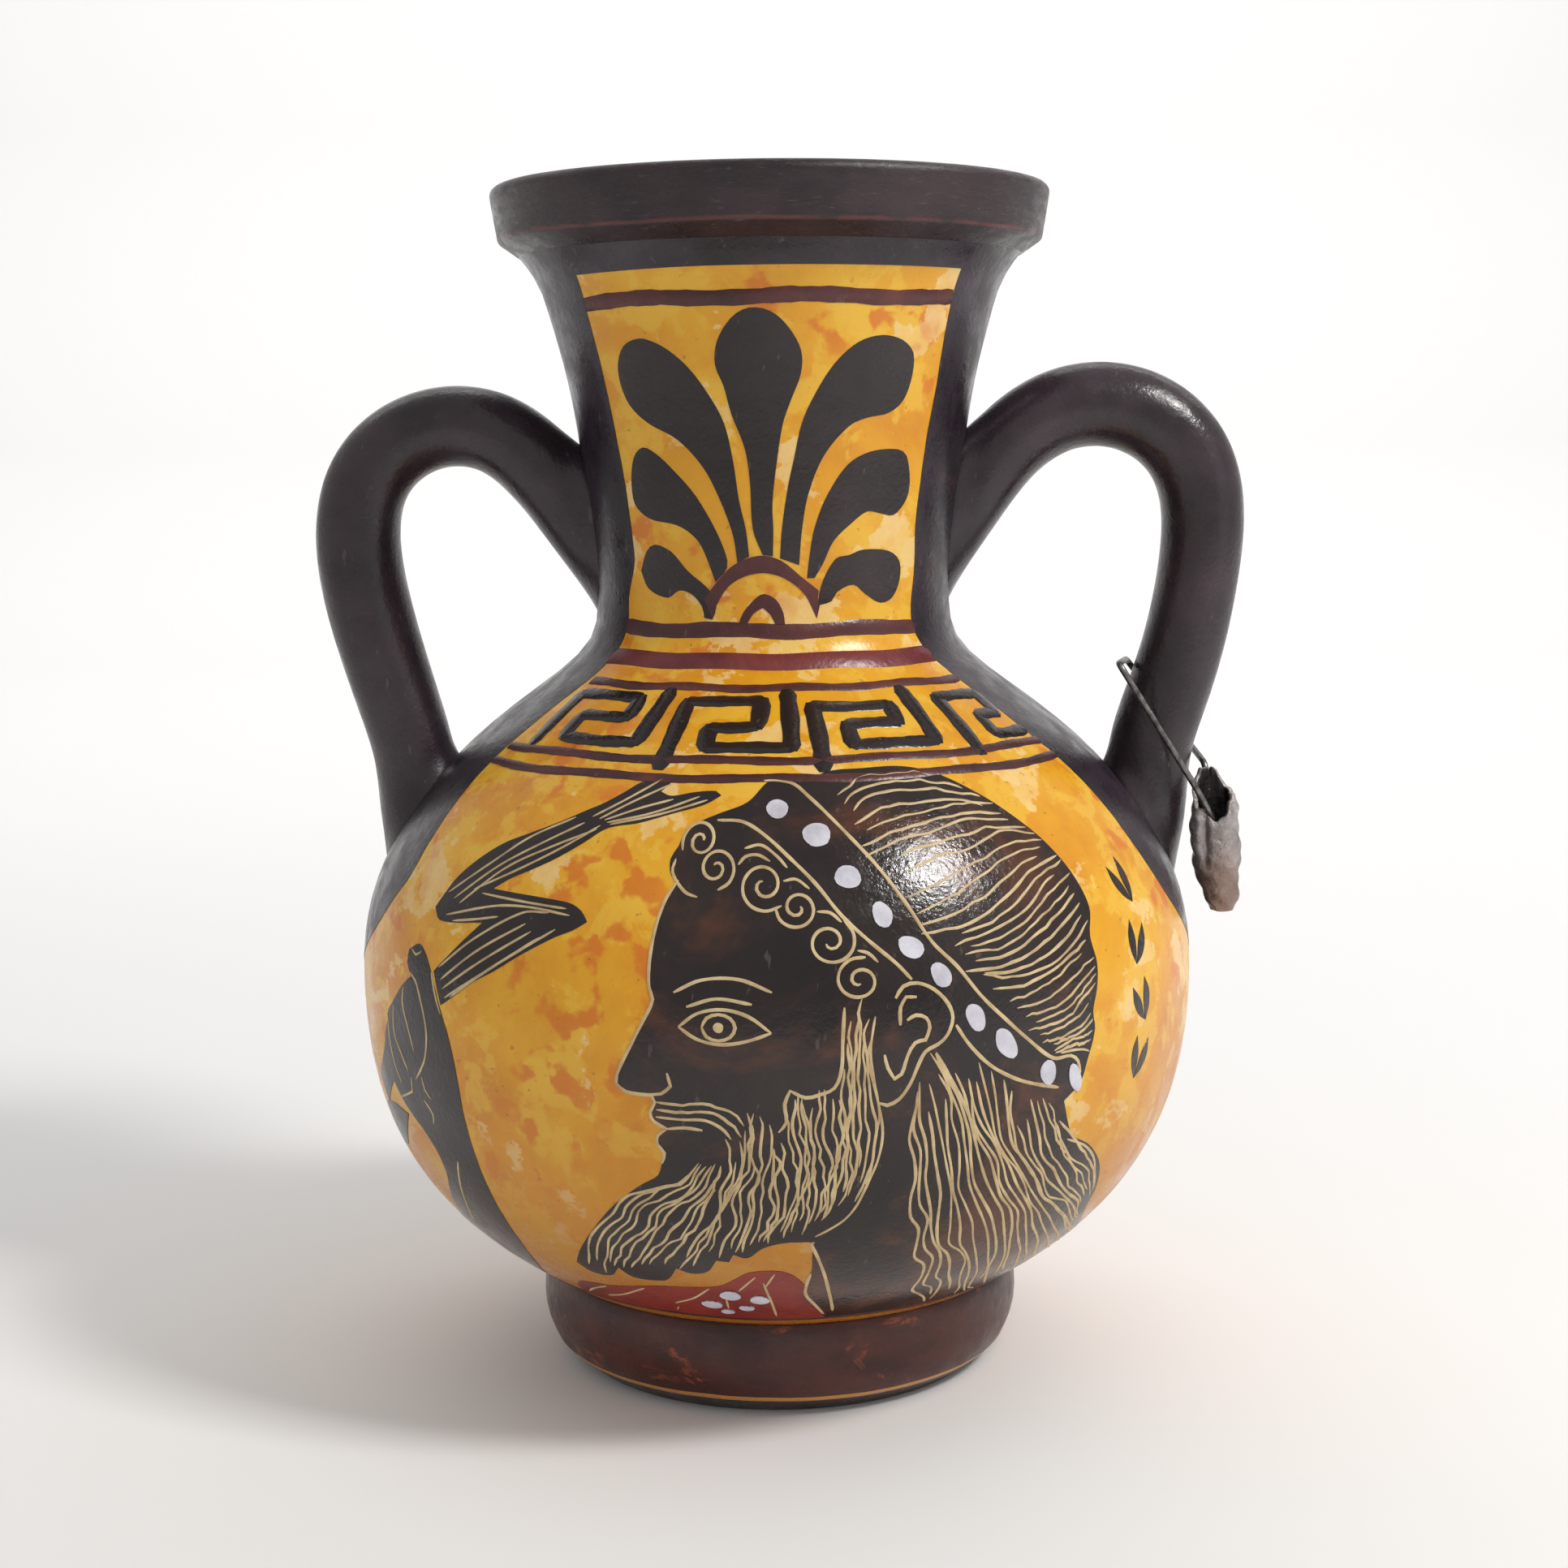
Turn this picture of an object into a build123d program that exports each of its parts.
from build123d import *
import os

# A small painted terracotta amphora, assembled the way a potter lutes one together: a foot ring, a
# thrown belly, a thrown neck, a mouth ring and two rolled handles, with a crimped lead seal on a wire
# loop round one handle. Millimetres, +Z up, origin at the centre of the foot's resting face, the front
# facing -Y and the handles at -X and +X.

# ---- driving dimensions ----
TOTAL_HEIGHT = 180.0
FOOT_TOP = 15.2  # where the belly sits on the foot ring
NECK_BASE = 109.5  # where the neck is luted to the shoulder
LIP_BASE = 170.3  # where the mouth ring sits on the neck

FOOT_REST_R = 31.6  # outer radius of the ring that touches the table
FOOT_REST_INNER_R = 27.4
FOOT_TOP_R = 36.9
FOOT_TOP_INNER_R = 29.4
FOOT_BULGE_R = 37.3
NECK_BASE_R = 30.6
NECK_BASE_BORE_R = 25.2
LIP_BASE_R = 38.1
LIP_BASE_BORE_R = 33.4
LIP_R = 42.3
LIP_BORE_R = 36.0

HANDLE_WIDTH = 12.6  # across the handle, seen from the front
HANDLE_DEPTH = 13.6  # from the handle's front to its back
LUTE_FLARE = 1.22  # how much the clay is smeared wider at each end of a handle

WIRE_D = 1.0
SEAL_Y = -4.4  # the seal hangs in front of the handles' plane
SEAL_WALL = 0.9
SEAL_MOUTH_Z = 84.2  # the front lip of the seal's open end
SEAL_TOP_Z = 91.9

# ---- profiles: (radius, height) points on the outer and inner walls ----
BELLY_OUTER = [
    (FOOT_TOP_R, FOOT_TOP),
    (45.2, 20.8),
    (54.7, 30.0),
    (61.3, 42.5),
    (63.9, 57.5),
    (62.3, 74.0),
    (56.6, 85.4),
    (47.6, 96.0),
    (36.9, 104.6),
    (NECK_BASE_R, NECK_BASE),
]
BELLY_INNER = [
    (33.0, 20.4),
    (48.4, 30.2),
    (56.7, 43.5),
    (59.4, 57.5),
    (57.7, 72.6),
    (52.3, 83.0),
    (43.4, 92.8),
    (33.2, 101.2),
    (NECK_BASE_BORE_R, NECK_BASE),
]
FLOOR_TOP = 19.6
UNDERSIDE_MIDDLE = 13.2

NECK_OUTER = [
    (NECK_BASE_R, NECK_BASE),
    (28.0, 112.7),
    (27.0, 116.8),
    (27.6, 126.0),
    (29.3, 141.0),
    (31.3, 152.8),
    (33.6, 161.6),
    (35.4, 166.6),
    (LIP_BASE_R, LIP_BASE),
]
NECK_INNER = [
    (NECK_BASE_BORE_R, NECK_BASE),
    (23.5, 113.2),
    (22.8, 117.4),
    (23.4, 126.6),
    (25.0, 141.0),
    (27.0, 153.4),
    (29.4, 162.4),
    (31.2, 167.0),
    (LIP_BASE_BORE_R, LIP_BASE),
]

# ---- handle routes: (x, z) points on the centreline, neck end first ----
LEFT_ROUTE = [
    (-19.0, 117.0),
    (-30.0, 132.2),
    (-36.5, 139.6),
    (-42.6, 143.9),
    (-49.2, 145.0),
    (-56.6, 142.6),
    (-61.6, 137.2),
    (-63.6, 129.4),
    (-63.1, 121.0),
    (-60.9, 111.5),
    (-58.1, 102.5),
    (-56.0, 94.5),
    (-55.3, 86.5),
    (-54.2, 79.5),
    (-51.4, 71.5),
]
RIGHT_ROUTE = [
    (18.5, 117.5),
    (30.0, 134.0),
    (36.2, 141.6),
    (43.2, 146.2),
    (51.0, 147.3),
    (58.8, 144.7),
    (64.0, 139.2),
    (66.1, 131.2),
    (65.6, 122.8),
    (63.8, 113.2),
    (61.0, 103.2),
    (58.6, 95.2),
    (57.6, 86.5),
    (56.3, 79.0),
    (53.2, 71.0),
]

# ---- the wire loop: from inside the seal, over the handle's front, round and back behind it ----
WIRE_ROUTE = [
    (68.2, -4.7, 78.2),
    (67.6, -5.9, 83.8),
    (63.8, -8.0, 90.0),
    (52.3, -8.1, 108.4),
    (55.6, 8.0, 107.6),
    (65.6, 7.9, 94.6),
    (66.8, -2.8, 93.0),
    (67.6, -3.4, 84.0),
]
WIRE_BENDS = [4.0, 5.0, 1.2, 1.2, 2.0, 1.6]

# ---- the seal: (height, centre x, half width, half thickness) of its crumpled oval tube ----
SEAL_SECTIONS = [
    (69.6, 69.2, 1.6, 1.4),
    (71.1, 69.0, 2.5, 2.0),
    (73.5, 68.7, 3.0, 2.5),
    (76.6, 68.2, 3.6, 2.8),
    (80.6, 68.0, 3.9, 3.0),
    (85.7, 67.8, 3.6, 3.0),
    (89.2, 67.6, 3.1, 2.8),
    (SEAL_TOP_Z, 67.3, 2.3, 2.4),
]

os.makedirs("parts", exist_ok=True)


# ---- foot ring: a turned annulus that carries the whole pot ----
with BuildPart() as foot_ring:
    with BuildSketch(Plane.XZ):
        with BuildLine():
            Polyline((FOOT_TOP_R, FOOT_TOP), (FOOT_TOP_INNER_R, FOOT_TOP), (FOOT_REST_INNER_R, 0.6))
            Polyline((FOOT_REST_INNER_R, 0.6), (FOOT_REST_INNER_R + 0.6, 0), (FOOT_REST_R, 0))
            Line((FOOT_REST_R, 0), (35.5, 3.2))
            ThreePointArc((35.5, 3.2), (FOOT_BULGE_R, 8.6), (FOOT_TOP_R, FOOT_TOP))
        make_face()
    revolve(axis=Axis.Z)
foot_ring.part.label = "foot_ring"
export_step(foot_ring.part, "parts/foot_ring.step")


# ---- belly: a hollow thrown globe with a closed floor and an open shoulder ----
with BuildPart() as belly:
    with BuildSketch(Plane.XZ):
        with BuildLine():
            Spline(*BELLY_OUTER)
            Line(BELLY_OUTER[-1], BELLY_INNER[-1])
            Spline(*BELLY_INNER)
            Spline(BELLY_INNER[0], (0, FLOOR_TOP), tangents=[(-0.86, -0.5), (-1, 0)])
            Line((0, FLOOR_TOP), (0, UNDERSIDE_MIDDLE))
            Spline((0, UNDERSIDE_MIDDLE), (FOOT_TOP_INNER_R, FOOT_TOP), tangents=[(1, 0), (1, 0.12)])
            Line((FOOT_TOP_INNER_R, FOOT_TOP), BELLY_OUTER[0])
        make_face()
    revolve(axis=Axis.Z)
belly.part.label = "belly"
export_step(belly.part, "parts/belly.step")


# ---- neck: a thrown tube, waisted at the shoulder and flaring to the mouth ----
with BuildPart() as neck:
    with BuildSketch(Plane.XZ):
        with BuildLine():
            Spline(*NECK_OUTER)
            Line(NECK_OUTER[-1], NECK_INNER[-1])
            Spline(*NECK_INNER)
            Line(NECK_INNER[0], NECK_OUTER[0])
        make_face()
    revolve(axis=Axis.Z)
neck.part.label = "neck"
export_step(neck.part, "parts/neck.step")


# ---- mouth ring: a separate thick lip with a slightly tapered outer band ----
with BuildPart() as mouth_rim:
    with BuildSketch(Plane.XZ):
        with BuildLine():
            outer = FilletPolyline(
                (LIP_BASE_R, LIP_BASE),
                (41.0, 172.0),
                (LIP_R, TOTAL_HEIGHT),
                (LIP_BORE_R, TOTAL_HEIGHT),
                (LIP_BASE_BORE_R, LIP_BASE),
                radius=[0.8, 1.3, 1.8],
            )
            Line(outer @ 1, outer @ 0)
        make_face()
    revolve(axis=Axis.Z)
mouth_rim.part.label = "mouth_rim"
export_step(mouth_rim.part, "parts/mouth_rim.step")


# ---- the pot's outside filled solid, which trims the handles' ends to its surface ----
with BuildPart() as pot_core:
    with BuildSketch(Plane.XZ):
        with BuildLine():
            Spline(*BELLY_OUTER)
            Spline(*NECK_OUTER)
            Polyline(NECK_OUTER[-1], (0, LIP_BASE), (0, FOOT_TOP), BELLY_OUTER[0])
        make_face()
    revolve(axis=Axis.Z)


def make_handle(name, route):
    """A rolled clay handle along its route, smeared wider where it is luted to the pot."""
    stations = [(0, LUTE_FLARE), (0.16, 1.0), (0.5, 1.0), (0.84, 1.02), (1, LUTE_FLARE)]
    with BuildPart() as handle:
        with BuildLine() as centreline:
            Spline(*[(x, 0, z) for x, z in route])
        for along, scale in stations:
            here = Plane(
                origin=centreline.line @ along,
                x_dir=(0, 1, 0),
                z_dir=centreline.line % along,
            )
            with BuildSketch(here):
                Ellipse(scale * HANDLE_DEPTH / 2, scale * HANDLE_WIDTH / 2)
        sweep(multisection=True)
        add(pot_core.part, mode=Mode.SUBTRACT)
    handle.part.label = name
    export_step(handle.part, f"parts/{name}.step")
    return handle.part


handle_left = make_handle("handle_left", LEFT_ROUTE)
handle_right = make_handle("handle_right", RIGHT_ROUTE)


# ---- seal wire: one loop of stiff wire round the right handle, its ends inside the seal ----
with BuildPart() as seal_wire:
    with BuildLine() as wire_line:
        FilletPolyline(*WIRE_ROUTE, radius=WIRE_BENDS)
    with BuildSketch(Plane(origin=wire_line.line @ 0, z_dir=wire_line.line % 0)):
        Circle(WIRE_D / 2)
    sweep()
seal_wire.part.label = "seal_wire"
export_step(seal_wire.part, "parts/seal_wire.step")


# ---- lead seal: an oval lead tube, open at the top and crimped shut on the wire's ends ----
with BuildPart() as lead_seal:
    for height, middle, half_width, half_thickness in SEAL_SECTIONS:
        with BuildSketch(Plane.XY.offset(height)):
            with Locations((middle, SEAL_Y)):
                Ellipse(half_width, half_thickness)
    loft(ruled=True)
    for height, middle, half_width, half_thickness in [
        (SEAL_MOUTH_Z - 1.2, 67.9, 3.8, 3.1),
        (SEAL_TOP_Z, 67.3, 2.3, 2.4),
    ]:
        with BuildSketch(Plane.XY.offset(height)):
            with Locations((middle, SEAL_Y)):
                Ellipse(half_width - SEAL_WALL, half_thickness - SEAL_WALL)
    loft(mode=Mode.SUBTRACT)
    # the front lip is folded lower than the back one, so the open end faces forward
    with BuildSketch(Plane.YZ.offset(60)):
        with BuildLine():
            Polyline(
                (SEAL_Y - 6, SEAL_MOUTH_Z - 3.6),
                (SEAL_Y + 2.4, SEAL_TOP_Z + 0.4),
                (SEAL_Y - 6, SEAL_TOP_Z + 0.4),
                close=True,
            )
        make_face()
    extrude(amount=20, mode=Mode.SUBTRACT)
lead_seal.part.label = "lead_seal"
export_step(lead_seal.part, "parts/lead_seal.step")
